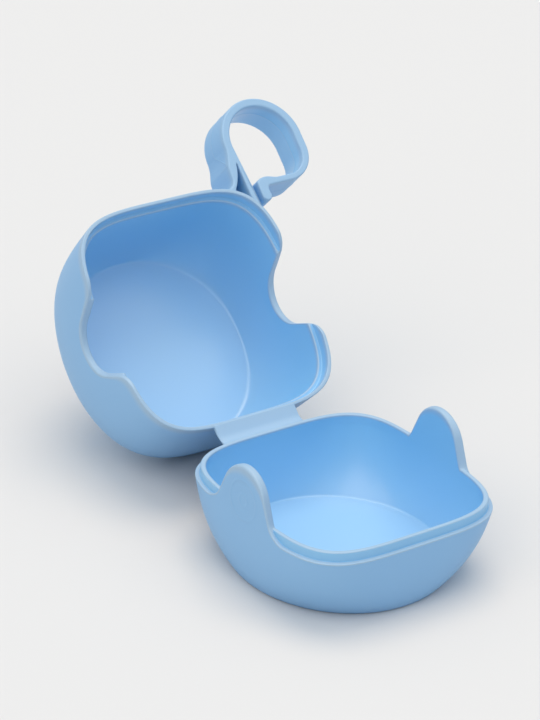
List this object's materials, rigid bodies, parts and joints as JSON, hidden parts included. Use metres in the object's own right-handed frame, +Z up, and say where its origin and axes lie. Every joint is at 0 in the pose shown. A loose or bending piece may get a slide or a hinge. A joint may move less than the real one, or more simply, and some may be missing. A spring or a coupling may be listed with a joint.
{
  "type": "pacifier sterilizer case",
  "caption": "Hinged hard case for steaming and carrying pacifiers: rounded square cup, deep domed lid on a folding strap, grip ears that press in, spring hook for a bag.",
  "frame": {"origin": "centre of the flat foot of the base, on the surface the case stands on", "axes": "+Z up; +Y from the base to the hinge and the open lid; X along the hinge fold, +X the side of the hook"},
  "size_m": [0.0866, 0.1491, 0.0849],
  "materials": {
    "cup": "satin translucent light blue polypropylene, as moulded",
    "lid": "satin translucent light blue polypropylene, as moulded",
    "hook": "satin translucent light blue polypropylene, as moulded"
  },
  "bodies": {
    "base": {"base_shell": "cup", "base_hinge_leaf": "cup"},
    "lid": {"lid_shell": "lid", "lid_hinge_leaf": "lid", "hook_brace": "hook", "hook_tang": "hook"},
    "right_ear_body": {"right_ear": "cup"},
    "left_ear_body": {"left_ear": "cup"},
    "hook_gate": {"hook_ring": "hook"}
  },
  "joints": [
    {"name": "lid_hinge", "type": "hinge", "parent": "base", "child": "lid", "pos_m": [0, 0.03752, 0.02065], "axis": [1, 0, 0], "range_deg": [0, 137.21]},
    {"name": "right_ear_press", "type": "hinge", "parent": "base", "child": "right_ear_body", "pos_m": [0.0306, 0, 0.02332], "axis": [0, -1, 0], "range_deg": [0, 5], "stiffness_Nm_per_rad": 3},
    {"name": "left_ear_press", "type": "hinge", "parent": "base", "child": "left_ear_body", "pos_m": [-0.0306, 0, 0.02332], "axis": [0, 1, 0], "range_deg": [0, 5], "stiffness_Nm_per_rad": 3},
    {"name": "hook_spring", "type": "hinge", "parent": "lid", "child": "hook_gate", "pos_m": [0.02817, 0.09753, 0.07612], "axis": [0, -0.6793, 0.7339], "range_deg": [0, 12], "stiffness_Nm_per_rad": 1.5}
  ]
}
